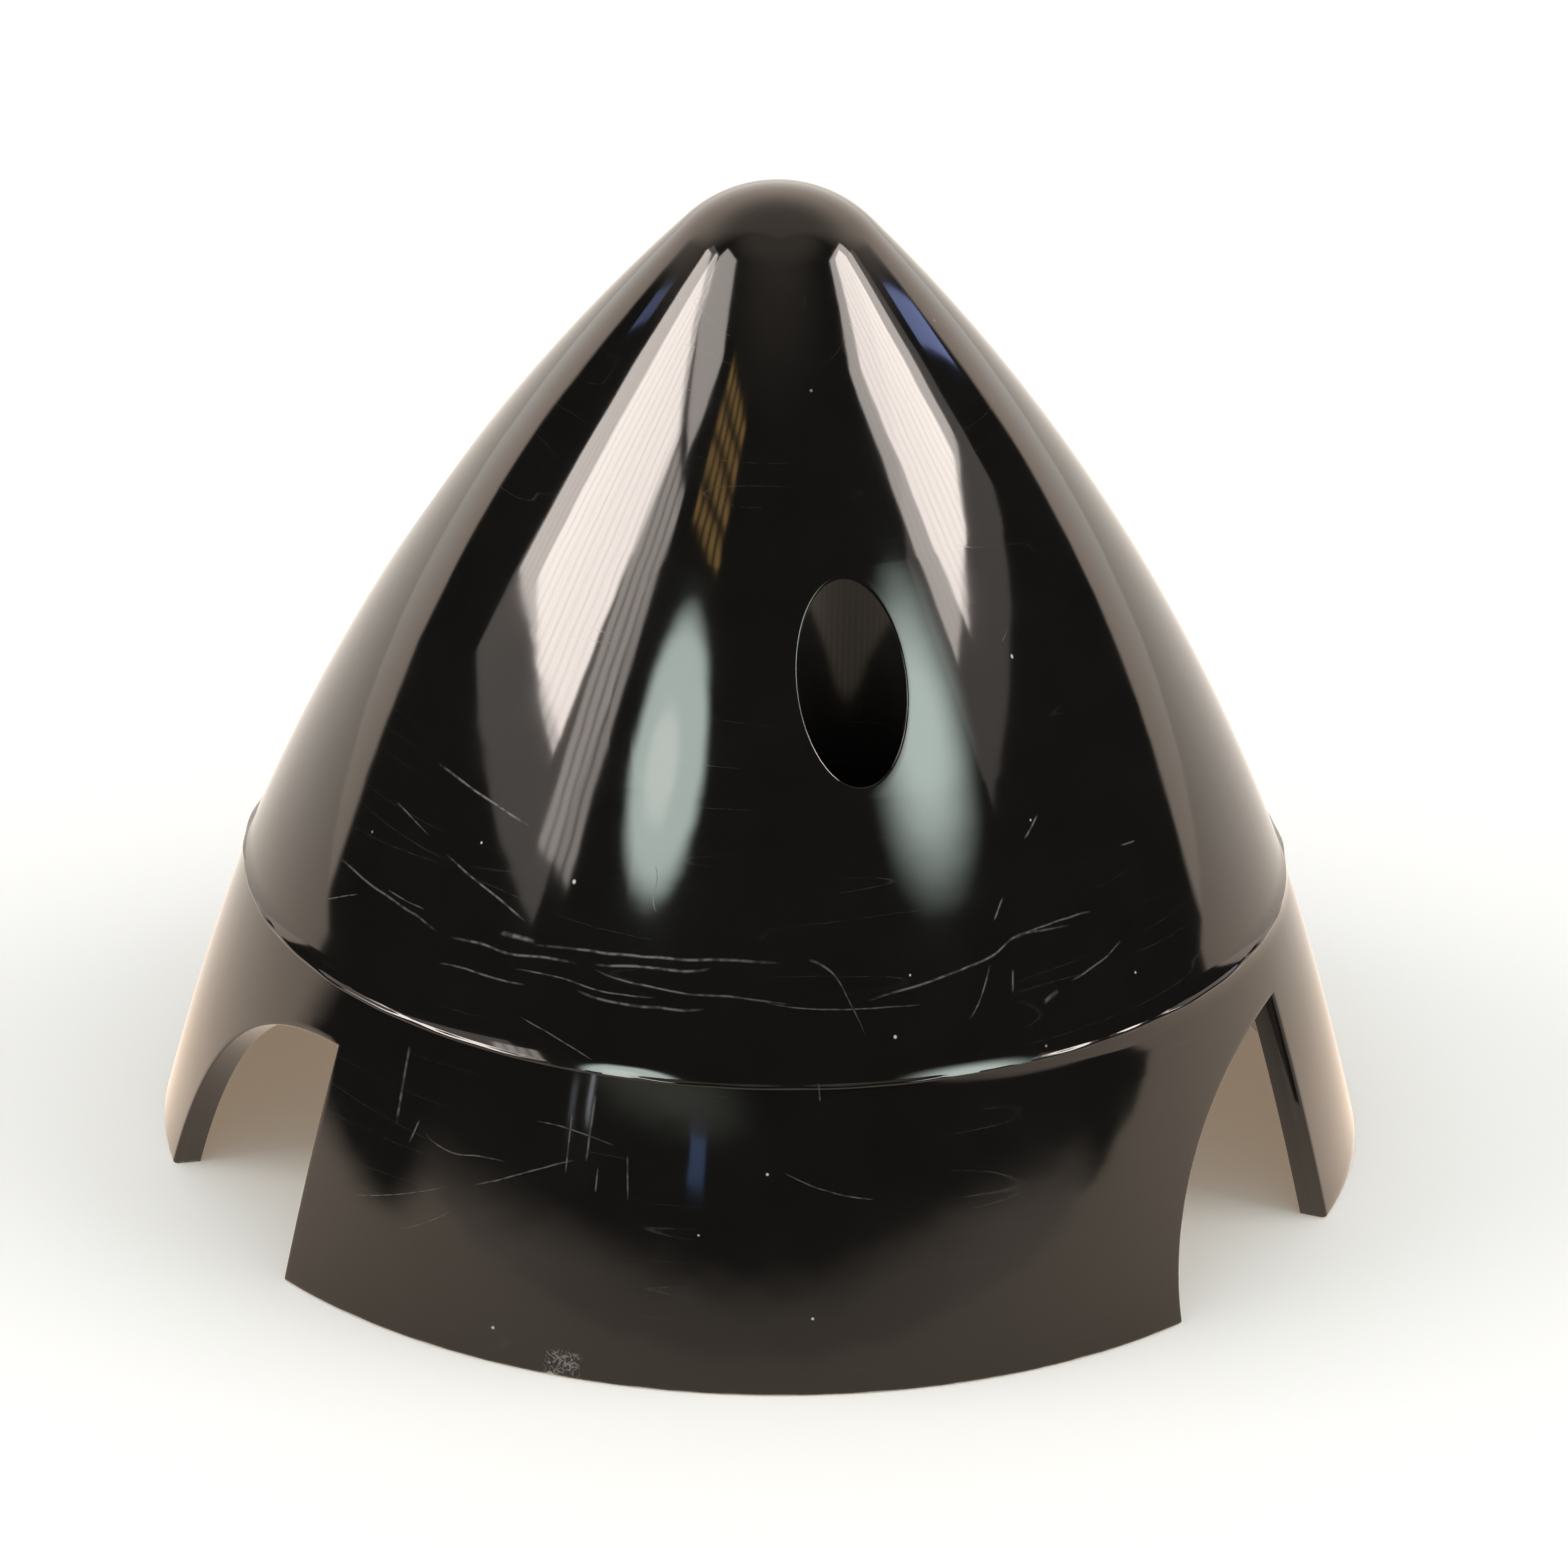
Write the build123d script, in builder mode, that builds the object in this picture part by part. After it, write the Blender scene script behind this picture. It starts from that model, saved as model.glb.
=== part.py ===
from build123d import *
import os
from math import cos, radians, sin, sqrt, tan

os.makedirs("parts", exist_ok=True)

# A spinner for a three-blade propeller: one moulded shell, nose up, standing on its rim.
# Millimetres and degrees. The Z axis is the propeller shaft, z = 0 is the rim plane.
# Turns about Z are counted from +X towards +Y. The side of the photograph is -Y.

# Outer form: a skirt below the mould's parting line, a longer cone above it, a round nose.
rim_radius = 28.5
seam_inset = 3.95
seam_height = 13.7
skirt_arc = 160
cone_arc = 96
cone_lean = 20.85
nose_radius = 6.25
wall = 1.3
rim_wall = 1.35

# Flash left on the parting line, where the two halves of the mould met.
flash_stand = 0.21
flash_thickness = 0.26

# Blade cut-outs: one upright side, and one side that arches over to meet its top.
blade_count = 3
cutout_turn = -140
cutout_span = 26.2
cutout_height = 11.15

# Screw wells, sunk parallel to the shaft, each with a seat for the screw head at its foot.
well_turn = -76.7
well_circle_radius = 16.4
screw_size = 2.5
screw_clearance = 0.3
head_diameter = 4.6
head_clearance = 0.4
column_wall = 1.25
column_foot = 2.5
seat_thickness = 3

# Upright pads inside the skirt, which centre the backplate on the shaft.
pad_stand = 1.05
pad_width = 8

# Sizes that follow from the ones above.
seam_radius = rim_radius - seam_inset
lean = radians(cone_lean)
cone_centre_x = seam_radius - cone_arc * cos(lean)
cone_centre_z = seam_height - cone_arc * sin(lean)
nose_rise = sqrt((cone_arc - nose_radius) ** 2 - cone_centre_x**2)
nose_share = nose_radius / (cone_arc - nose_radius)
nose_centre_z = cone_centre_z + nose_rise
nose_join = (-cone_centre_x * nose_share, nose_centre_z + nose_rise * nose_share)
height = nose_centre_z + nose_radius
inner_share = nose_share - wall / (cone_arc - nose_radius)
inner_join = (-cone_centre_x * inner_share, nose_centre_z + nose_rise * inner_share)
inner_seam = (seam_radius - wall * cos(lean), seam_height - wall * sin(lean))
inner_rim = (rim_radius - rim_wall, 0)
well_radius = (head_diameter + head_clearance) / 2
screw_hole_radius = (screw_size + screw_clearance) / 2
column_radius = well_radius + column_wall
pad_radius = rim_radius - rim_wall - pad_stand
pad_turn = cutout_turn - cutout_span / 2 + 180 / blade_count
spare = 1

# Half the outer profile, from the rim over the seam to the tip of the nose.
with BuildLine() as outer_line:
    RadiusArc((rim_radius, 0), (seam_radius, seam_height), -skirt_arc)
    RadiusArc((seam_radius, seam_height), nose_join, -cone_arc)
    RadiusArc(nose_join, (0, height), -nose_radius)

# The core of the mould: it leaves the hollow, and its own pits leave the columns and the pads.
with BuildPart() as core:
    with BuildSketch(Plane.XZ):
        with BuildLine():
            RadiusArc(inner_rim, inner_seam, wall - skirt_arc)
            RadiusArc(inner_seam, inner_join, wall - cone_arc)
            RadiusArc(inner_join, (0, height - wall), wall - nose_radius)
            Polyline((0, height - wall), (0, -spare), (inner_rim[0], -spare), inner_rim)
        make_face()
    revolve(axis=Axis.Z)
    with BuildSketch(Plane.XY.offset(column_foot)):
        with PolarLocations(well_circle_radius, blade_count, well_turn):
            Circle(column_radius)
    extrude(amount=height, mode=Mode.SUBTRACT)
    with BuildSketch(Plane.XY.offset(-spare)):
        with PolarLocations(rim_radius, blade_count, pad_turn):
            Rectangle(2 * (rim_radius - pad_radius + spare), pad_width)
        Circle(pad_radius, mode=Mode.SUBTRACT)
    extrude(amount=height / 2, mode=Mode.SUBTRACT)

# One blade cut-out, as cut from the shaft outwards, so that its sides point at the shaft.
with BuildPart() as cutout:
    for distance in (well_circle_radius, rim_radius + spare):
        reach = distance * tan(radians(cutout_span))
        with BuildSketch(Plane.YZ.offset(distance)):
            with BuildLine():
                Polyline((0, cutout_height), (0, -spare), (-reach, -spare), (-reach, 0))
                EllipticalCenterArc((0, 0), reach, cutout_height, 90, arc_size=90)
            make_face()
    loft(ruled=True)

# The spinner itself.
with BuildPart() as spinner_cone:
    with BuildSketch(Plane.XZ):
        with BuildLine():
            add(outer_line.line)
            Polyline((0, height), (0, 0), (rim_radius, 0))
        make_face()
    revolve(axis=Axis.Z)
    with BuildSketch(Plane.XZ):
        with Locations((seam_radius, seam_height)):
            Polygon(
                (flash_stand, 0),
                (-flash_stand, flash_thickness),
                (-flash_stand, -flash_thickness),
                align=None,
            )
    revolve(axis=Axis.Z)
    add(core.part, mode=Mode.SUBTRACT)
    with PolarLocations(0, blade_count, cutout_turn):
        add(cutout.part, mode=Mode.SUBTRACT)
    with Locations(Plane.XY.offset(height)):
        with PolarLocations(well_circle_radius, blade_count, well_turn):
            CounterBoreHole(
                radius=screw_hole_radius,
                counter_bore_radius=well_radius,
                counter_bore_depth=height - column_foot - seat_thickness,
                depth=height,
            )

spinner_cone.part.label = "spinner_cone"
export_step(spinner_cone.part, "parts/spinner_cone.step")
print("spinner_cone", spinner_cone.part.is_valid, spinner_cone.part.bounding_box())
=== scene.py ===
import math

import bmesh
import bpy
import numpy as np
from mathutils import Matrix, Vector


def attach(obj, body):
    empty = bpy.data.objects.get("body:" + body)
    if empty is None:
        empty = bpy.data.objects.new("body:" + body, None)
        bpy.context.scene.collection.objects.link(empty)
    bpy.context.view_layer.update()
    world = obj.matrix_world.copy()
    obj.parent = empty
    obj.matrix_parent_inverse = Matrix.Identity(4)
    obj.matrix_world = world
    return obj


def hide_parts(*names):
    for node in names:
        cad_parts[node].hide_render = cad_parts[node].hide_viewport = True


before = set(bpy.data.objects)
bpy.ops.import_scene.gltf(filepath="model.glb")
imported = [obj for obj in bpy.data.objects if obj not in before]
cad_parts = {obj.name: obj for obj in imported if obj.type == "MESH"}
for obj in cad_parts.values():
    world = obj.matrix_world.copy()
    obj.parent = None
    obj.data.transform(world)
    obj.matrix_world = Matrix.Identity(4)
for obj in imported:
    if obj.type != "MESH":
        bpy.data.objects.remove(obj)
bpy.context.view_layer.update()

# The spinner is one nylon moulding: a skirt under the parting line, a slender cone above it and
# a round nose. Sizes are in millimetres as in the part's source, and z = 0 is the rim. Turns go
# round the shaft in radians, from the side of the photograph to the right.
rim_radius, rim_wall, wall = 28.5, 1.35, 1.3
seam_radius, seam_height = 24.55, 13.7
skirt_arc, cone_arc, nose_radius = 160.0, 96.0, 6.25
cone_lean = math.radians(20.85)
flash_stand, flash_half = 0.2, 0.13
flare_rise, flare_radius = 0.75, 3.0
rim_round, rim_wear, wear_height = 0.16, 0.035, 0.6
nick_turn, nick_half, nick_depth = math.radians(-18.9), math.radians(0.35), 0.15
blade_count = 3
pitch = math.tau / blade_count

cone_centre = (
    seam_radius - cone_arc * math.cos(cone_lean),
    seam_height - cone_arc * math.sin(cone_lean),
)
nose_rise = math.sqrt((cone_arc - nose_radius) ** 2 - cone_centre[0] ** 2)
nose_height = cone_centre[1] + nose_rise
nose_slope = nose_rise / (cone_arc - nose_radius)
half_chord = math.hypot(rim_radius - seam_radius, seam_height) / 2
chord_stand = math.sqrt(skirt_arc**2 - half_chord**2) / (2 * half_chord)
skirt_centre = (
    (rim_radius + seam_radius) / 2 - chord_stand * seam_height,
    seam_height / 2 - chord_stand * (rim_radius - seam_radius),
)


def arc_radius(centre, arc, z):
    """Radius at height z of the surface that one arc of the profile sweeps."""
    return centre[0] + np.sqrt(np.clip(arc**2 - (z - centre[1]) ** 2, 0, None))


def body_radius(z, depth=0.0):
    """Radius at height z of the moulding, or of the surface that lies depth below its skin."""
    skirt = arc_radius(skirt_centre, skirt_arc - depth, z)
    cone = arc_radius(cone_centre, cone_arc - depth, z)
    nose = arc_radius((0, nose_height), nose_radius - depth, z)
    nose_start = nose_height + (nose_radius - depth) * nose_slope
    return np.where(z > nose_start, nose, np.minimum(skirt, cone))


def unevenness(turn):
    """A share from 0 to 1 that wanders round the shaft, as the trimmed flash does."""
    waves = np.sin(7 * turn + 1) + 0.8 * np.sin(17 * turn + 4) + 0.7 * np.sin(41 * turn + 2)
    return np.clip(0.62 + 0.2 * waves, 0.12, 1)


def skin_radius(turn, z):
    """Outer radius: the skin flares out a little towards the flash, and the rim is rounded."""
    off_seam = np.clip((z - seam_height) / flash_half, -1, 1)
    flash = flash_stand * unevenness(turn) * np.sqrt(1 - off_seam**2)
    flare = np.clip(flare_rise - np.abs(z - seam_height), 0, None) ** 2 / (2 * flare_radius)
    flare = np.where(z < seam_height, flare * np.clip(2 * np.sin(turn) - 0.4, 0, 1), flare)
    below_round = np.clip(rim_round - z, 0, rim_round)
    rounding = rim_round - np.sqrt(rim_round**2 - below_round**2)
    return body_radius(z) + np.maximum(flash, flare) - rounding


def place(turn, z, radius):
    """Points at those turns, heights and radii. The rim is worn, and a blow has nicked it."""
    nick = np.clip(1.6 - 1.6 * np.abs(turn - nick_turn) / nick_half, 0, 1)
    loss = rim_wear * unevenness(5 * turn) ** 3 + nick_depth * nick
    z = z + loss * np.clip(1 - z / wear_height, 0, 1)
    return np.stack([radius * np.sin(turn), -radius * np.cos(turn), z + 0 * turn], axis=-1)


# Three openings in the skirt let the blade roots out. Each has one upright side and one side
# that arches over to meet its top in a sharp corner, and all its faces point at the shaft.
cutout_turn, cutout_span, cutout_height = math.radians(-50), math.radians(26.2), 11.15
edge_round, inner_round, band = 0.12, 0.05, 0.36
rim_rows = rim_round * (1 - np.cos(np.radians([0, 22.5, 45, 67.5, 90])))
side_rows = 36
pad_radius, pad_turn, pad_half = 26.1, math.radians(-3.1), math.radians(8.8)


def lining_radius(turn, z):
    """Inner radius, with the three upright pads that centre the backplate."""
    lining = body_radius(z, wall)
    from_pad = np.abs((turn - pad_turn + pitch / 2) % pitch - pitch / 2)
    return np.where(from_pad < pad_half, np.minimum(lining, pad_radius), lining)


def rows_up_to(height):
    """Heights of the rows beside an opening, closer together on the rounded edge of the rim."""
    return np.concatenate([rim_rows, np.linspace(rim_round, height, side_rows - 3)[1:]])


def opening_line(blade, away):
    """Turns and heights round one opening, at that distance from its edge: up the arch, which
    ends in the corner, and down the upright side."""
    swing = np.arcsin(rim_rows / cutout_height)
    swing = np.concatenate([swing, np.linspace(swing[-1], math.pi / 2, side_rows - 3)[1:]])
    across = np.arctan(math.tan(cutout_span) * np.cos(swing))
    up = cutout_height * np.sin(swing)
    radius = body_radius(up)
    along = np.stack([np.gradient(-across * radius), np.gradient(up)])
    along[:, 0], along[:, -1] = (0, 1), (1, 0)
    along /= np.hypot(*along)
    arch_turn = cutout_turn - across - away * along[1] / radius
    arch_up = up + away * along[0]
    arch_turn[-1] += away / radius[-1]
    upright_up = rows_up_to(cutout_height + away)[::-1]
    upright_turn = cutout_turn + away / body_radius(upright_up)
    upright_turn[0] = arch_turn[-1]
    turns = np.concatenate([arch_turn, upright_turn[1:]])
    return turns + blade * pitch, np.concatenate([arch_up, upright_up[1:]])


def opening_lip(blade):
    """The edge of one opening, from the skin over the cut face to the lining."""
    layers = []
    for away in (band, edge_round):
        turn, z = opening_line(blade, away)
        layers.append(place(turn, z, skin_radius(turn, z)))
    for swing in np.radians([18, 36, 54, 72, 90]):
        turn, z = opening_line(blade, edge_round * (1 - math.sin(swing)))
        layers.append(place(turn, z, skin_radius(turn, z) - edge_round * (1 - math.cos(swing))))
    for swing in np.radians([90, 60, 30]):
        turn, z = opening_line(blade, inner_round * (1 - math.sin(swing)))
        layers.append(place(turn, z, lining_radius(turn, z) + inner_round * (1 - math.cos(swing))))
    for away in (inner_round, band):
        turn, z = opening_line(blade, away)
        layers.append(place(turn, z, lining_radius(turn, z)))
    return np.array(layers)


# Three wells run down from the cone, parallel to the shaft, inside columns that carry the seats
# of the screw heads. Below each seat a hole for the screw leads on to the foot of the column.
well_turn, well_circle_radius, well_radius, well_round = math.radians(13.3), 16.4, 2.5, 0.1
column_radius, column_foot = 3.75, 2.5
seat_height, screw_hole_radius = 5.5, 1.4
ring_steps = 28


def round_well(blade, circle, swing):
    """Turns and radii, round the shaft, of points on a circle round one well."""
    x = well_circle_radius + circle * np.cos(swing)
    y = circle * np.sin(swing)
    return well_turn + blade * pitch + np.arctan2(y, x), np.hypot(x, y)


def cone_height(radius, depth=0.0):
    """Height at which the cone, or the surface that lies depth below it, has that radius."""
    return cone_centre[1] + np.sqrt((cone_arc - depth) ** 2 - (radius - cone_centre[0]) ** 2)


def well_lining(blade):
    """The rounded mouth of one well, its wall, seat and screw hole, and the column outside."""
    swing = np.linspace(0, math.tau, 2 * ring_steps + 1)
    layers = []
    for circle in (well_radius + 3 * well_round, well_radius + well_round):
        turn, radius = round_well(blade, circle, swing)
        layers.append(place(turn, cone_height(radius), radius))
    for roll in np.radians([22.5, 45, 67.5, 90]):
        turn, radius = round_well(blade, well_radius + well_round * (1 - math.sin(roll)), swing)
        mouth = cone_height(radius) - well_round * (1 - math.cos(roll))
        layers.append(place(turn, mouth, radius))
    turn, radius = round_well(blade, well_radius, swing)
    for share in np.linspace(0, 1, 9)[1:]:
        layers.append(place(turn, mouth + (seat_height - mouth) * share, radius))
    for z in (seat_height, column_foot):
        turn, radius = round_well(blade, screw_hole_radius, swing)
        layers.append(place(turn, z + 0 * turn, radius))
    turn, radius = round_well(blade, column_radius, swing)
    top = cone_height(radius, wall)
    for share in np.linspace(0, 1, 8):
        layers.append(place(turn, column_foot + (top - column_foot) * share, radius))
    return np.array(layers)


# Skin and lining are swept in six panels, each from the upright side of an opening to a well or
# from a well to the next opening. A panel's rows run between its two borders, row for row.
tip_height = nose_height + nose_radius


def panel_rows(depth, circle, seam_levels):
    """Heights of the rows above the openings: on the border beside the openings, and on the
    border at the well, with the angle round the well where a row ends on its outline."""
    low, high = (cone_height(well_circle_radius + side * circle, depth) for side in (1, -1))
    nose_start = nose_height + (nose_radius - depth) * nose_slope
    below = np.concatenate([seam_levels, np.linspace(seam_levels[-1], low, 12)[1:]])
    beside = np.linspace(low, high, ring_steps + 1)[1:]
    swing = np.linspace(0, math.pi, ring_steps + 1)[1:]
    above = np.linspace(high, nose_start, 9)[1:]
    roll = np.linspace(math.asin(nose_slope), math.pi / 2, 14)[1:]
    nose = nose_height + (nose_radius - depth) * np.sin(roll)
    nose[-1] = tip_height - depth
    return below, beside, swing, above, nose


def panel(blade, before_well, depth, circle, seam_levels, shares, surface):
    """One panel of the skin or the lining: from an opening's upright side to the well, or from
    the well to the next opening's arch."""
    below, beside, swing, above, nose = panel_rows(depth, circle, seam_levels)
    high_rows = np.concatenate([below, beside, above, nose])
    if before_well:
        turn, z = opening_line(blade, band)
        turn, z = turn[side_rows:][::-1], z[side_rows:][::-1]
    else:
        turn, z = opening_line(blade + 1, band)
        turn, z = turn[: side_rows + 1], z[: side_rows + 1]
    edge_z = np.concatenate([z, high_rows])
    high_turn = (blade if before_well else blade + 1) * pitch + cutout_turn
    edge_turn = np.concatenate([turn, high_turn + band / body_radius(np.minimum(high_rows, 40))])
    side = -1 if before_well else 1
    outline_turn, outline_radius = round_well(blade, circle, side * swing)
    straight = well_turn + blade * pitch
    low_z = rows_up_to(cutout_height + band)
    well_z = np.concatenate([low_z, below, cone_height(outline_radius, depth), above, nose])
    turns = np.full(len(well_z), straight)
    start = len(low_z) + len(below)
    turns[start : start + len(swing)] = outline_turn
    grid_turn = edge_turn[:, None] + (turns - edge_turn)[:, None] * shares
    grid_z = edge_z[:, None] + (well_z - edge_z)[:, None] * shares
    return place(grid_turn, grid_z, surface(grid_turn, grid_z))


ridge = flash_half * np.array([-1, -0.92, -0.7, -0.38, 0, 0.38, 0.7, 0.92, 1])
flare_rows = flare_rise * np.array([0.25, 0.4, 0.6, 0.8, 1.0])
below_flare = np.linspace(cutout_height + band, seam_height - flare_rise, 4)[1:-1]
skin_seam = np.concatenate([-flare_rows[::-1], ridge, flare_rows]) + seam_height
skin_seam = np.concatenate([below_flare, skin_seam])
lining_seam = np.linspace(cutout_height + band, seam_height, 4)[1:]

# Across a panel the columns stand evenly, but closer at the nick and in pairs at a pad's sides.
nick_share, nick_step, pad_edge_shares = 0.486, 0.0035, (0.597, 0.879)
nick_columns = nick_share + nick_step * np.arange(-8, 9)
pad_columns = [share + step for share in pad_edge_shares for step in (-0.001, 0.001)]
sheets = []
for blade in range(blade_count):
    sheets += [opening_lip(blade), well_lining(blade)]
    for before_well, columns in ((True, 50), (False, 45)):
        shares = np.linspace(0, 1, columns + 1)
        if before_well and blade == 0:
            clear = np.abs(shares - nick_share) > 0.03
            shares = np.sort(np.concatenate([shares[clear], nick_columns]))
        circle = well_radius + 3 * well_round
        sheets.append(panel(blade, before_well, 0, circle, skin_seam, shares, skin_radius))
        shares = np.linspace(0, 1, columns // 2 + 1)
        if before_well:
            shares = np.sort(np.concatenate([shares, pad_columns]))
        circle = column_radius
        sheets.append(panel(blade, before_well, wall, circle, lining_seam, shares, lining_radius))

# All sheets are welded along their borders, and the feet of the three legs are closed.
weld, sliver = 2e-6, 1e-7
shell = bmesh.new()
for sheet in sheets:
    rows, columns = sheet.shape[:2]
    corners = [[shell.verts.new(point) for point in row / 1000] for row in sheet]
    for j in range(rows - 1):
        for i in range(columns - 1):
            shell.faces.new(
                (corners[j][i], corners[j][i + 1], corners[j + 1][i + 1], corners[j + 1][i])
            )
bmesh.ops.remove_doubles(shell, verts=shell.verts, dist=weld)
bmesh.ops.dissolve_degenerate(shell, edges=shell.edges, dist=sliver)
open_edges = [edge for edge in shell.edges if edge.is_boundary]
feet = bmesh.ops.holes_fill(shell, edges=open_edges, sides=0)["faces"]
bmesh.ops.triangulate(shell, faces=feet)
bmesh.ops.recalc_face_normals(shell, faces=shell.faces)
mesh = bpy.data.meshes.new("spinner_shell")
shell.to_mesh(mesh)
shell.free()
mesh.polygons.foreach_set("use_smooth", [True] * len(mesh.polygons))
mesh.set_sharp_from_angle(angle=math.radians(35))
spinner = bpy.data.objects.new("spinner_shell", mesh)
bpy.context.scene.collection.objects.link(spinner)

# The spinner is moulded in glossy black nylon. Handling has left hairline scratches, most of them
# just above the parting line, fine dust, and a whitish scuff where a blow nicked the rim.
nylon = bpy.data.materials.new("black_nylon")


def take_up(owner):
    """Takes the nodes of a material, a lamp or the world in hand."""
    global nodes, links
    owner.use_nodes = True
    nodes, links = owner.node_tree.nodes, owner.node_tree.links


def step(kind, wanted, *values, **settings):
    """Adds a node to those in hand, feeds its inputs and returns one output, or None for all."""
    made = nodes.new(kind)
    for name, value in settings.items():
        setattr(made, name, value)
    for socket, value in zip(made.inputs, values):
        if isinstance(value, bpy.types.NodeSocket):
            links.new(value, socket)
        elif value is not None:
            socket.default_value = value
    return made if wanted is None else made.outputs[wanted]


def reckon(operation, *values, clamp=False):
    """One step of arithmetic, on sockets or plain numbers."""
    return step("ShaderNodeMath", 0, *values, operation=operation, use_clamp=clamp)


def fade(value, start, end, low=0.0, high=1.0):
    """A smooth step of a value between two limits."""
    smooth = dict(interpolation_type="SMOOTHSTEP")
    return step("ShaderNodeMapRange", "Result", value, start, end, low, high, **smooth)


def noise(where, scale, detail, rough=0.5):
    """Cloudy noise from 0 to 1. The scale says how many clouds go to a millimetre."""
    return step("ShaderNodeTexNoise", "Fac", where, None, scale, detail, rough)


def apart(first, second):
    """How far apart two values are."""
    return reckon("ABSOLUTE", reckon("SUBTRACT", first, second))


def squares(first, second):
    """The sum of the squares of two values."""
    return reckon("ADD", reckon("POWER", first, 2), reckon("POWER", second, 2))


def blend(share, first, second):
    """A colour that goes from the first to the second with the share."""
    return step("ShaderNodeMix", 2, share, *[None] * 5, first, second, data_type="RGBA")


def curve(value, points, bend_kind="AUTO"):
    """A value that follows a curve through the points, or straight runs between them."""
    made = nodes.new("ShaderNodeFloatCurve")
    made.mapping.use_clip = False
    made.mapping.extend = "HORIZONTAL"
    bends = made.mapping.curves[0].points
    for _ in points[2:]:
        bends.new(0.5, 0.5)
    for bend, place_of_bend in zip(bends, points):
        bend.location = place_of_bend
        bend.handle_type = bend_kind
    made.mapping.update()
    links.new(value, made.inputs["Value"])
    return made.outputs["Value"]


take_up(nylon)
spot = step("ShaderNodeTexCoord", "Object")
spot = step("ShaderNodeVectorMath", "Vector", spot, None, None, 1000, operation="SCALE")
spot_x, spot_y, spot_up = step("ShaderNodeSeparateXYZ", None, spot).outputs
spot_turn = reckon("ARCTAN2", spot_x, reckon("MULTIPLY", spot_y, -1))
spot_turn = reckon("MULTIPLY", spot_turn, math.degrees(1))
wander = noise(spot, 0.5, 1)
spot_height = reckon("ADD", spot_up, reckon("MULTIPLY_ADD", wander, 0.16, -0.08))
skips = fade(noise(spot, 2.6, 1), 0.36, 0.56, 0.35)


def scratch(along, across, width, points):
    """A scratch that follows the points, fading out at both ends."""
    begin, end = points[0][0], points[-1][0]
    off = apart(across, curve(along, points))
    mark = reckon("MULTIPLY_ADD", off, -1 / width, 1, clamp=True)
    reach = (end - begin) / 5
    press = ((begin, -0.3), (begin + reach, 1), (end - reach, 1), (end, -0.3))
    return reckon("MULTIPLY", mark, curve(along, press, "VECTOR"), clamp=True)


# Each scratch has its half width and its points: turn in degrees, height in millimetres.
long_scratches = (
    (0.07, ((-50.1, 24.1), (-42.8, 23.8), (-35.3, 23.3), (-30.3, 23.0))),
    (0.05, ((-54.0, 21.8), (-49.0, 21.5), (-45.4, 21.2))),
    (0.07, ((-43.2, 20.9), (-38.5, 20.4), (-32.9, 19.8), (-28.1, 19.1))),
    (0.07, ((-60.6, 18.4), (-52.3, 18.2), (-45.1, 18.0), (-39.2, 17.6))),
    (0.04, ((-50.0, 18.4), (-42.6, 18.3))),
    (0.08, ((-39.2, 17.6), (-35.0, 17.8), (-29.6, 17.8), (-24.5, 18.0), (-20.7, 18.0))),
    (0.13, ((-32.2, 18.5), (-29.5, 18.55), (-26.9, 18.5))),
    (0.08, ((-29.0, 18.3), (-22.3, 18.6), (-17.4, 18.7), (-11.0, 18.8), (-3.3, 18.9), (4, 18.9))),
    (0.06, ((-20.8, 18.1), (-16.2, 17.7), (-10.6, 17.5), (-3.1, 17.4), (4.8, 17.1))),
    (0.08, ((-20.3, 18.1), (-14.8, 18.3), (-7.8, 18.4), (-5.0, 18.6))),
    (0.06, ((-39.6, 16.4), (-35.9, 16.6), (-31.4, 16.6), (-26.6, 16.7))),
    (0.05, ((-30.0, 17.2), (-24.1, 17.3), (-18.3, 17.1), (-10.9, 17.1))),
    (0.08, ((-22.0, 17.0), (-16.6, 16.7), (-12.0, 16.7), (-7.1, 16.8), (-5.4, 17.0))),
    (0.04, ((-28.0, 15.4), (-23.3, 14.9), (-17.5, 14.1))),
    (0.04, ((-60.0, 16.4), (-53.9, 17.6))),
    (0.04, ((-0.6, 17.3), (4.7, 17.0), (11.9, 16.9), (19.3, 16.8))),
    (0.08, ((5.0, 19.0), (7.1, 18.7), (8.6, 18.2), (9.8, 17.3), (11.0, 16.3), (11.9, 15.3))),
    (0.07, ((10.4, 17.1), (19.8, 17.8), (27.6, 18.4), (30.5, 18.9), (34.6, 18.9), (40, 18.7))),
    (0.06, ((30.0, 18.8), (35.8, 19.1), (38.8, 19.1), (42.6, 19.0))),
    (0.06, ((36.5, 16.5), (39.4, 16.7), (45.8, 17.5))),
    (0.14, ((32.6, 15.9), (35.1, 16.3))),
    (0.05, ((49.2, 21.1), (52.4, 21.0))),
    (0.05, ((-29.8, 7.5), (-25.0, 8.5), (-18.0, 9.9))),
    (0.04, ((-36.6, 9.4), (-32.8, 8.8), (-28.1, 9.0), (-25.6, 9.0))),
    (0.03, ((-44.5, 5.1), (-39.7, 5.8), (-34.2, 6.8), (-31.2, 7.4))),
    (0.03, ((-37.0, 4.6), (-33.3, 5.5), (-30.8, 6.4))),
    (0.04, ((-23.9, 11.1), (-19.2, 11.0), (-14.2, 10.6))),
    (0.04, ((2.0, 10.1), (7.3, 9.1), (12.4, 8.6))),
)
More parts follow.
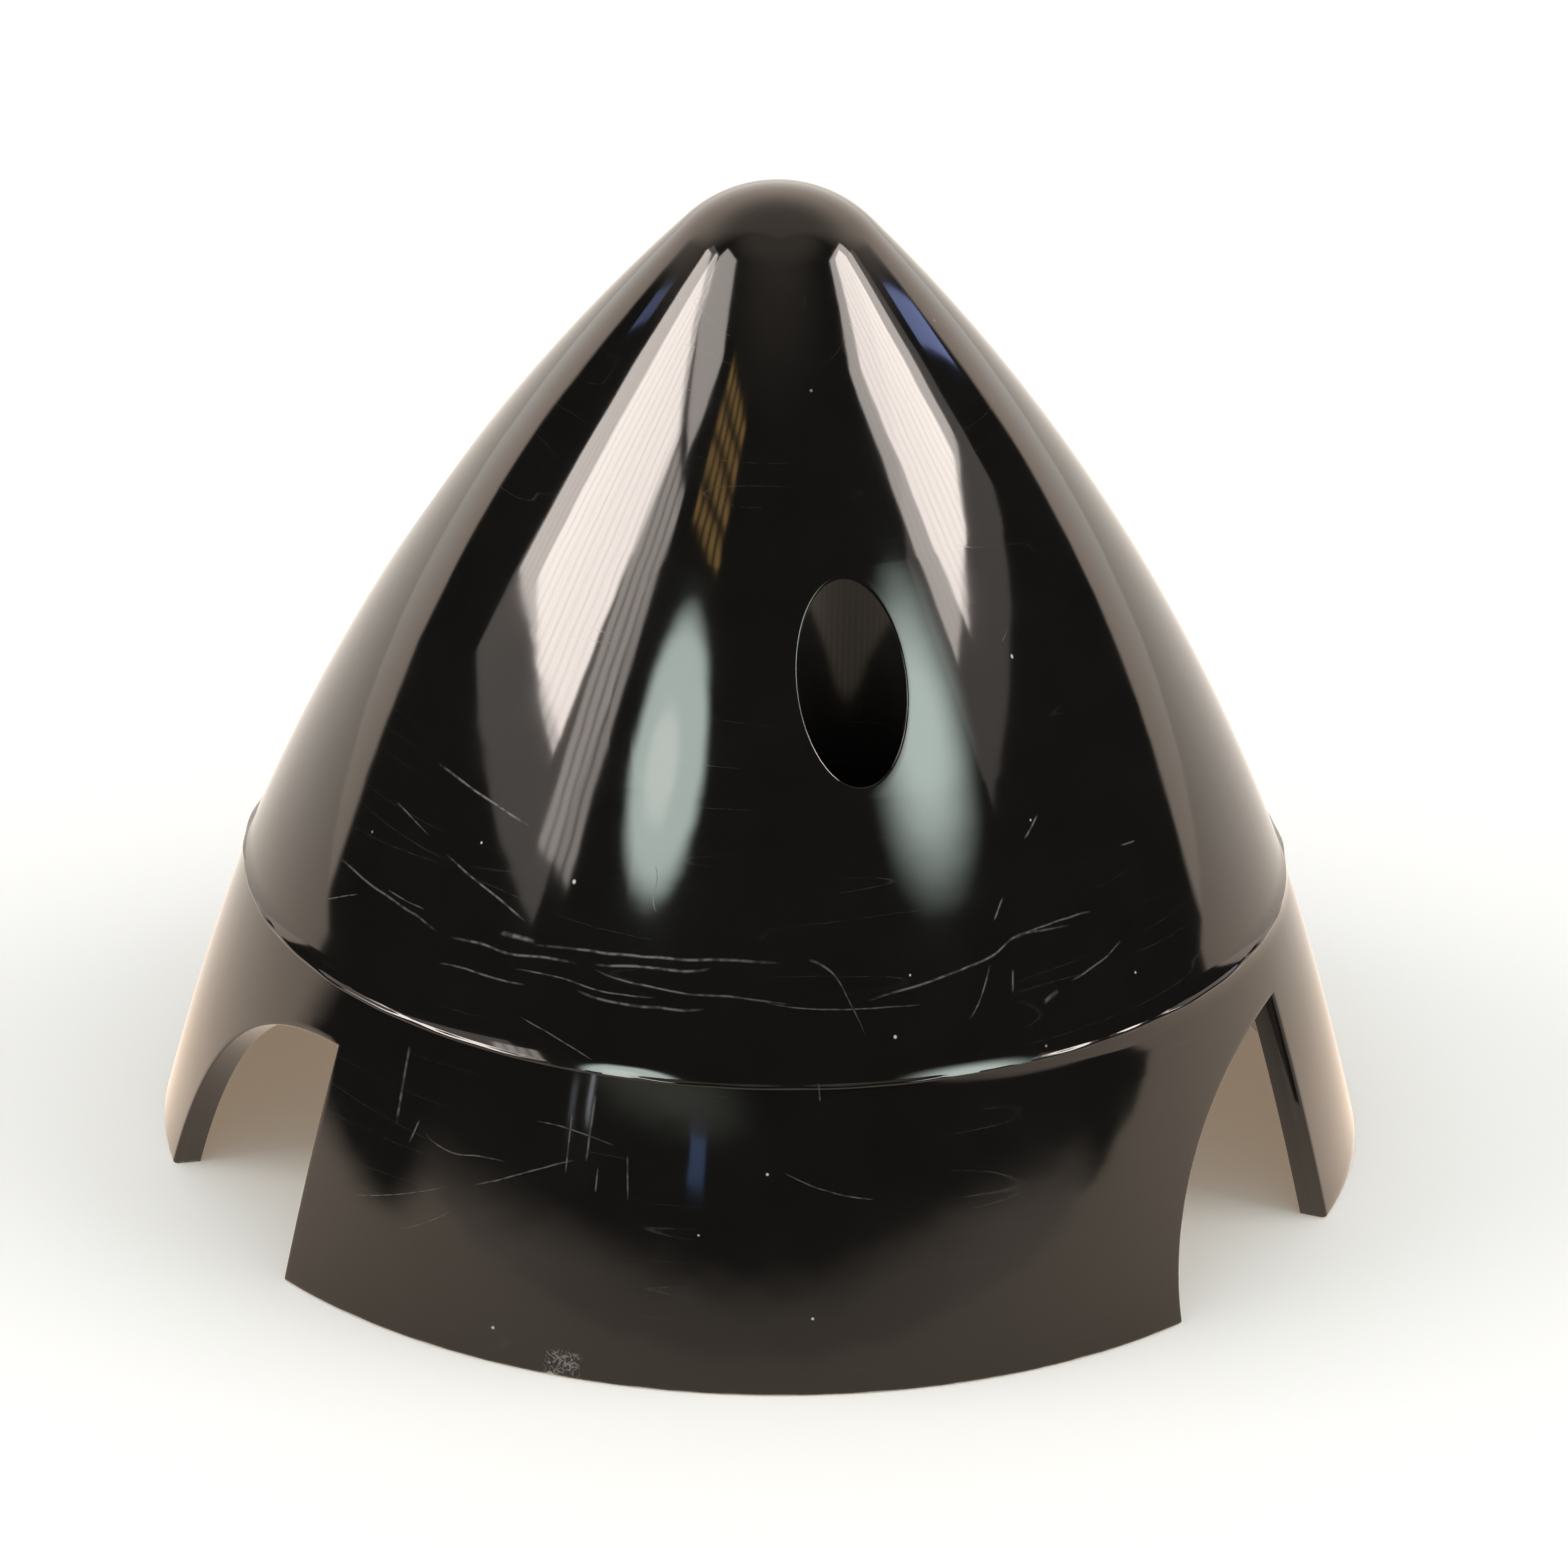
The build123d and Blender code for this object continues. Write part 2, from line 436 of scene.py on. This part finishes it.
# These run upwards. Each has its half width in degrees and its points: height, then turn.
upright_scratches = (
    (0.10, ((20.5, -12.5), (21.2, -13.5), (22.0, -13.3), (22.7, -14.2))),
    (0.22, ((9.0, -39.5), (12.9, -40.0))),
    (0.14, ((8.5, -37.5), (9.8, -36.7))),
    (0.12, ((13.0, 6.4), (13.9, 6.2))),
    (0.16, ((15.8, 23.2), (16.9, 25.4), (18.2, 27.1))),
    (0.20, ((19.7, 28.2), (20.7, 30.2))),
    (0.30, ((22.7, 34.8), (23.6, 37.9))),
    (0.16, ((16.6, 29.1), (17.7, 29.7))),
    (0.16, ((9.6, -17.5), (12.9, -17.3))),
    (0.12, ((8.9, -19.5), (12.3, -19.6))),
    (0.12, ((8.4, -16.2), (9.7, -16.2))),
    (0.12, ((8.2, -12.8), (10.4, -13.3))),
    (0.12, ((30.4, 40.4), (30.9, 42.8))),
)
# Each speck of dust has its turn in degrees, then its height and radius in millimetres.
specks = (
    (41.6, 29.8, 0.11), (-25.0, 1.6, 0.09), (-23.8, 21.3, 0.12), (36.5, 23.4, 0.06),
    (5.5, 3.5, 0.08), (1.0, 9.9, 0.08), (17.1, 18.1, 0.06), (29.9, 43.2, 0.07),
    (-37.8, 21.8, 0.07), (46.1, 15.9, 0.07), (14.8, 15.6, 0.1), (-5.6, 7.1, 0.06),
)
scratches = 0.0
for width, points in long_scratches:
    mark = scratch(spot_turn, spot_height, width, points)
    scratches = reckon("MAXIMUM", scratches, mark)
for width, points in upright_scratches:
    mark = scratch(spot_height, spot_turn, width, points)
    scratches = reckon("MAXIMUM", scratches, mark)
scratches = reckon("MULTIPLY", scratches, skips)
dust, mm_per_degree = 0.0, 0.42
for at_turn, at_height, size in specks:
    sideways = reckon("MULTIPLY", reckon("SUBTRACT", spot_turn, at_turn), mm_per_degree)
    upwards = reckon("SUBTRACT", spot_up, at_height)
    mark = fade(squares(sideways, upwards), size**2, 0)
    dust = reckon("MAXIMUM", dust, mark)

# Fine hairlines and dust lie all over, the squiggles of the blow sit beside the nick.
swirl = step("ShaderNodeCombineXYZ", 0, reckon("MULTIPLY", spot_turn, 0.03), spot_height, 0)
strands = noise(swirl, 0.6, 0)
hairline = fade(apart(strands, 0.5), 0.007, 0)
patches = fade(noise(spot, 0.16, 1), 0.48, 0.68)
hairline = reckon("MULTIPLY", hairline, reckon("MULTIPLY", patches, skips))
far_off = step("ShaderNodeTexVoronoi", "Distance", spot, None, 0.27)
fine_dust = fade(far_off, 0.024, 0.01, 0, 0.4)
tight = noise(spot, 3.4, 3, 0.6)
squiggle = fade(apart(tight, 0.5), 0.05, 0.01)
scuff_turn, scuff_half, scuff_height = -17.8, 2.0, 1.35
scuff = fade(apart(spot_turn, scuff_turn), scuff_half, scuff_half - 0.8)
scuff = reckon("MULTIPLY", scuff, fade(spot_up, scuff_height, scuff_height - 0.35))
squiggle = reckon("MULTIPLY", squiggle, scuff)
rim_edge = reckon("MULTIPLY", fade(spot_up, 0.14, 0.05), fade(tight, 0.45, 0.6))

# Wells and lining came off duller faces of the mould, so they are rougher. The wells' reflection is
# also turned down, which darkens them as painted shade. All three wells are found as one, since the
# turns are folded onto a third of the way round.
third = 360 / blade_count
fold = reckon("ADD", spot_turn, third / 2 - math.degrees(well_turn) + 2 * third)
fold = reckon("SUBTRACT", reckon("MODULO", fold, third), third / 2)
fold = reckon("MULTIPLY", fold, math.radians(1))
shaft_off = reckon("SQRT", squares(spot_x, spot_y))
well_x = reckon("MULTIPLY", shaft_off, reckon("COSINE", fold))
well_x = reckon("SUBTRACT", well_x, well_circle_radius)
well_y = reckon("MULTIPLY", shaft_off, reckon("SINE", fold))
well_off = squares(well_x, well_y)
in_well = fade(well_off, (well_radius + 0.02) ** 2, (well_radius - 0.02) ** 2)
facing = step("ShaderNodeNewGeometry", "Normal")
outward = step("ShaderNodeVectorMath", "Value", facing, spot, operation="DOT_PRODUCT")
dull = reckon("MAXIMUM", in_well, fade(outward, 0.5, -0.5))

tone = noise(spot, 0.3, 4, 0.6)
worn = reckon("MAXIMUM", reckon("MULTIPLY", scratches, 0.65), reckon("MULTIPLY", hairline, 0.12))
worn = reckon("MAXIMUM", worn, reckon("MAXIMUM", squiggle, reckon("MULTIPLY", rim_edge, 0.7)))
dust = reckon("MAXIMUM", dust, fine_dust)
black = blend(tone, (0.0055, 0.0052, 0.0045, 1), (0.0095, 0.0088, 0.0078, 1))
marked = blend(worn, black, (0.15, 0.146, 0.14, 1))
dusted = blend(dust, marked, (0.5, 0.5, 0.48, 1))

roughness = reckon("MULTIPLY_ADD", tone, 0.05, 0.035)
roughness = reckon("ADD", roughness, reckon("MULTIPLY", dull, 0.26))
roughness = reckon("ADD", roughness, reckon("MULTIPLY", worn, 0.4))
roughness = reckon("ADD", roughness, reckon("MULTIPLY", dust, 0.5), clamp=True)

# The skin is faintly wavy, and the blow has roughened it.
waves = noise(spot, 0.28, 1.5, 0.4)
relief = reckon("MULTIPLY", waves, 0.012)
relief = reckon("SUBTRACT", relief, reckon("MULTIPLY", squiggle, 0.02))
bump = nodes.new("ShaderNodeBump")
bump.inputs["Strength"].default_value = 1.0
bump.inputs["Distance"].default_value = 0.001
links.new(relief, bump.inputs["Height"])

skin = nodes["Principled BSDF"]
skin.inputs["IOR"].default_value = 1.53
links.new(dusted, skin.inputs["Base Color"])
# Painted shade: the wells reflect less, which darkens them.
gloss_with_painted_well_shade = reckon("MULTIPLY_ADD", in_well, -0.36, 0.5)
links.new(gloss_with_painted_well_shade, skin.inputs["Specular IOR Level"])
links.new(roughness, skin.inputs["Roughness"])
links.new(bump.outputs["Normal"], skin.inputs["Normal"])
spinner.data.materials.append(nylon)
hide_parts("spinner_cone")
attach(spinner, "root")

# A white sheet lies under the spinner. Soft lamps and the sky light it, and it glows a little: the
# glow follows how closed in it is, dimmer beside the spinner as painted shadow and warm under it as
# painted light. In the gloss it glows brightest at the sides, and it ends at the left with the
# table.
sheet_half = 4.0
sheet_mesh = bpy.data.meshes.new("floor")
sheet_mesh.from_pydata(
    [(x * sheet_half, y * sheet_half, 0) for x, y in ((-1, -1), (1, -1), (1, 1), (-1, 1))],
    [],
    [(0, 1, 2, 3)],
)
floor = bpy.data.objects.new("floor", sheet_mesh)
bpy.context.scene.collection.objects.link(floor)
paper = bpy.data.materials.new("white_sheet")
take_up(paper)
nodes.clear()
closed_in = step("ShaderNodeAmbientOcclusion", "AO", None, 0.12, samples=4)
# Painted shade and light: the glow darkens beside the spinner and turns warm under it, by how
# closed in the sheet is.
painted_shade_glow_colour = nodes.new("ShaderNodeValToRGB")
for share, colour in (
    (0.0, (0.24, 0.175, 0.12, 1)),
    (0.12, (0.19, 0.145, 0.1, 1)),
    (0.3, (0.19, 0.165, 0.125, 1)),
    (0.5, (0.17, 0.16, 0.13, 1)),
    (0.75, (0.18, 0.18, 0.16, 1)),
    (0.96, (0.24, 0.24, 0.24, 1)),
):
    painted_shade_glow_colour.color_ramp.elements.new(share).color = colour
painted_shade_glow_colour.color_ramp.elements.remove(painted_shade_glow_colour.color_ramp.elements[0])
painted_shade_glow_colour.color_ramp.elements.remove(painted_shade_glow_colour.color_ramp.elements[-1])
links.new(closed_in, painted_shade_glow_colour.inputs["Fac"])
painted_glow = step("ShaderNodeEmission", 0, painted_shade_glow_colour.outputs["Color"])
matt = step("ShaderNodeBsdfDiffuse", 0, (0.85, 0.85, 0.835, 1))
lit = step("ShaderNodeAddShader", 0, painted_glow, matt)
ground = step("ShaderNodeNewGeometry", "Position")
reach = step("ShaderNodeVectorMath", "Value", ground, operation="LENGTH")
ahead = reckon("DIVIDE", step("ShaderNodeSeparateXYZ", "Y", ground), reach)
round_about = ((-1, 0.7), (-0.7, 0.86), (-0.4, 1.04), (0, 1.2), (0.5, 1.0), (1, 1.0))
brightness = curve(ahead, round_about)
to_left = fade(step("ShaderNodeSeparateXYZ", "X", ground), -0.08, -0.16)
abreast = fade(apart(ahead, -0.12), 0.34, 0.2)
table_end = reckon("MULTIPLY", to_left, abreast)
brightness = reckon("MULTIPLY", brightness, reckon("SUBTRACT", 1, table_end))
warmth = blend(fade(ahead, 0.2, 0.9), (1.3, 1.05, 0.84, 1), (1.3, 1.18, 1.05, 1))
mirrored = step("ShaderNodeEmission", 0, warmth, brightness)
in_gloss = step("ShaderNodeLightPath", "Is Glossy Ray")
shown = step("ShaderNodeMixShader", 0, in_gloss, lit, mirrored)
step("ShaderNodeOutputMaterial", None, shown)
sheet_mesh.materials.append(paper)

# Two pleated soft boxes stand left and right of the camera, two round lamps nearer to it, and small
# windows lie far behind. They show in the gloss, and two plain fill lamps light the sheet.
lamp_distance, lamp_centre = 0.9, Vector((0, 0, 0.03))


def lamp(name, turn, rise, width, height, radiance, colour, shape="RECTANGLE", lean=0.0):
    """A soft lamp seen from the spinner at that turn and elevation, all angles in degrees."""
    data = bpy.data.lights.new(name, "AREA")
    data.shape = shape
    data.size = 2 * lamp_distance * math.tan(math.radians(width / 2))
    data.size_y = 2 * lamp_distance * math.tan(math.radians(height / 2))
    area = data.size * data.size_y * (math.pi / 4 if shape == "ELLIPSE" else 1)
    data.energy = radiance * math.pi * area
    data.color = colour
    item = bpy.data.objects.new(name, data)
    bpy.context.scene.collection.objects.link(item)
    turn, rise = math.radians(turn), math.radians(rise)
    direction = Vector(
        (math.cos(rise) * math.sin(turn), -math.cos(rise) * math.cos(turn), math.sin(rise))
    )
    aim = direction.to_track_quat("Z", "Y").to_matrix().to_4x4()
    aim = aim @ Matrix.Rotation(math.radians(lean), 4, "Z")
    item.matrix_world = Matrix.Translation(direction * lamp_distance + lamp_centre) @ aim
    item.visible_camera = False
    item.visible_diffuse = name.startswith("fill")
    item.visible_glossy = not item.visible_diffuse
    return data


def cover(data, pleats=0, rows=0, dip=0.0, sharpness=0.5, soft=0.0):
    """The cloth over a lamp: darker pleats across it and rows along it, or a soft edge."""
    take_up(data)
    spread = step("ShaderNodeNewGeometry", "Parametric")
    across = step("ShaderNodeSeparateXYZ", "X", spread)
    along = step("ShaderNodeSeparateXYZ", "Y", spread)
    strength = 1.0
    for place_on, count in ((across, pleats), (along, rows)):
        if count:
            wave = reckon("SINE", reckon("MULTIPLY", place_on, math.pi * count))
            cloth = fade(reckon("ABSOLUTE", wave), 0, sharpness, 1 - dip, 1)
            strength = reckon("MULTIPLY", strength, cloth)
    if soft:
        across, along = reckon("SUBTRACT", across, 0.5), reckon("SUBTRACT", along, 0.5)
        off = reckon("SQRT", squares(across, along))
        strength = fade(off, 0.5, 0.5 * (1 - soft))
    links.new(strength, nodes["Emission"].inputs["Strength"])


warm, pink, green = (1, 0.88, 0.8), (1, 0.905, 0.84), (0.86, 1, 0.93)
gold, blue, white = (1, 0.6, 0.2), (0.42, 0.52, 1), (1, 0.97, 0.93)
sky, daylight, mist = (0.3, 0.5, 1), (0.85, 0.9, 1), (0.95, 1, 0.85)
lamp("fill_left", -84, 36, 40, 24, 3.2, white)
lamp("fill_right", 85, 40, 40, 24, 3.2, white)
lamp("left_lip", -77.5, 33, 44, 30, 1.2, warm)
cover(lamp("left_panel", -83.2, 35, 35, 21, 9.0, pink, lean=9), pleats=18, dip=0.3)
cover(lamp("left_core", -77.4, 36.3, 26.8, 22.4, 9.5, pink), pleats=10, dip=0.9, sharpness=0.3)
lamp("left_top", -70, 52, 26, 8, 6.0, pink)
cover(lamp("left_side", -54, 33, 10.5, 25, 4.5, pink), pleats=4, dip=0.8, sharpness=0.8)
lamp("right_lip", 85.5, 33, 42, 18, 0.9, warm)
cover(lamp("right_panel", 85.5, 41, 34, 21, 7.5, pink, lean=-5), pleats=18, dip=0.25)
cover(lamp("right_core", 85.4, 39.6, 22.4, 18.4, 11.0, pink), pleats=9, dip=0.8, sharpness=0.3)
cover(lamp("round_left", -29.5, 32, 21, 20, 9.5, green, "ELLIPSE"), soft=0.3)
cover(lamp("round_left_core", -31, 31, 10, 9, 2.5, warm, "ELLIPSE"), soft=0.5)
cover(lamp("round_right", 47.5, 30.5, 32, 23, 10.5, green, "ELLIPSE"), soft=0.8)
cover(lamp("warm_lamp", -30.5, 50, 12, 11, 3.0, gold, lean=-8), 5, 4, dip=1, sharpness=1)
lamp("window_right", 122.5, 23, 3, 15, 3.5, blue, lean=50)
lamp("window_left", -117.5, 27, 2, 8, 1.6, blue, lean=-50)
lamp("far_window", -12, 6.0, 3.2, 2.2, 1.6, sky)
lamp("far_lamp", -34.4, 7, 0.8, 2.6, 4.0, daylight)
lamp("far_lamp_low", -38, 6, 1.2, 2.0, 1.2, daylight)
cover(lamp("far_haze", -20, 8.6, 44, 5, 0.6, mist, "ELLIPSE"), soft=0.8)

# A white backdrop closes the set behind the spinner, and a dim ceiling hangs over it. The room in
# front is dark, down to the far edge of the table. Only the gloss shows all this, and the matt
# sheet sees an even sky.
world = bpy.data.worlds.new("studio")
bpy.context.scene.world = world
take_up(world)
nodes.clear()
outlook = step("ShaderNodeTexCoord", "Generated")
behind, high = (step("ShaderNodeSeparateXYZ", axis, outlook) for axis in ("Y", "Z"))
level = reckon("MAXIMUM", reckon("SUBTRACT", 1, reckon("MULTIPLY", high, high)), 1e-4)
behind = reckon("DIVIDE", behind, reckon("SQRT", level))
border = reckon("SUBTRACT", fade(high, 0, 0.2, 0.39, 0.66), fade(high, 0.3, 0.7, 0, 0.3))
softness = fade(high, 0.3, 0.6, 0.04, 0.5)
beyond = reckon("DIVIDE", reckon("SUBTRACT", behind, border), softness)
backdrop = reckon("MULTIPLY", fade(beyond, -0.5, 0.5), fade(high, 0.5, 0.9, 1.75, 0.7))
ceiling = fade(high, 0.8, 0.98, 0, 0.5)
edge_top = curve(behind, ((-1, 0.067), (-0.87, 0.071), (-0.7, 0.06), (-0.5, 0.04), (-0.26, 0.01)))
to_right = step("ShaderNodeSeparateXYZ", "X", outlook)
edge_top = reckon("ADD", edge_top, fade(to_right, 0.2, 0.7, 0, 0.014))
far_edge = fade(reckon("SUBTRACT", high, edge_top), 0, -0.045)
far_edge = reckon("MULTIPLY", far_edge, fade(behind, -0.3, -0.46))
far_edge = reckon("MULTIPLY", far_edge, fade(behind, -0.6, -1, 0.95, 0.65))
room = reckon("MAXIMUM", reckon("MAXIMUM", backdrop, ceiling), far_edge)
ray = nodes.new("ShaderNodeLightPath").outputs
in_gloss = reckon("MULTIPLY", ray["Is Glossy Ray"], room)
on_matt = reckon("MULTIPLY", ray["Is Diffuse Ray"], 0.66)
strength = reckon("ADD", reckon("ADD", in_gloss, on_matt), ray["Is Camera Ray"])
cloth = blend(fade(beyond, 1, 12), (1, 0.82, 0.69, 1), (1, 0.93, 0.85, 1))
tint = blend(ray["Is Glossy Ray"], (1, 1, 1, 1), cloth)
step("ShaderNodeOutputWorld", None, step("ShaderNodeBackground", 0, tint, strength))

# The camera stands in front, looks down on the spinner by 24.9 degrees and is rolled a little.
camera_distance, camera_drop, camera_roll = 0.4644, math.radians(24.8788), math.radians(1.3004)
aim_at = Vector((0.00079, 0, 0.01788))
forward = Vector((0, math.cos(camera_drop), -math.sin(camera_drop)))
level_up = Vector((0, math.sin(camera_drop), math.cos(camera_drop)))
right = Vector((math.cos(camera_roll), 0, 0)) + math.sin(camera_roll) * level_up
up = right.cross(forward)
camera_data = bpy.data.cameras.new("camera")
camera_data.sensor_fit = "HORIZONTAL"
camera_data.sensor_width = 36
camera_data.lens = 226.13
camera_data.clip_start = 0.01
camera = bpy.data.objects.new("camera", camera_data)
bpy.context.scene.collection.objects.link(camera)
turned = Matrix((right, up, -forward)).transposed().to_4x4()
camera.matrix_world = Matrix.Translation(aim_at - forward * camera_distance) @ turned
bpy.context.scene.camera = camera
bpy.context.scene.view_settings.view_transform = "Standard"
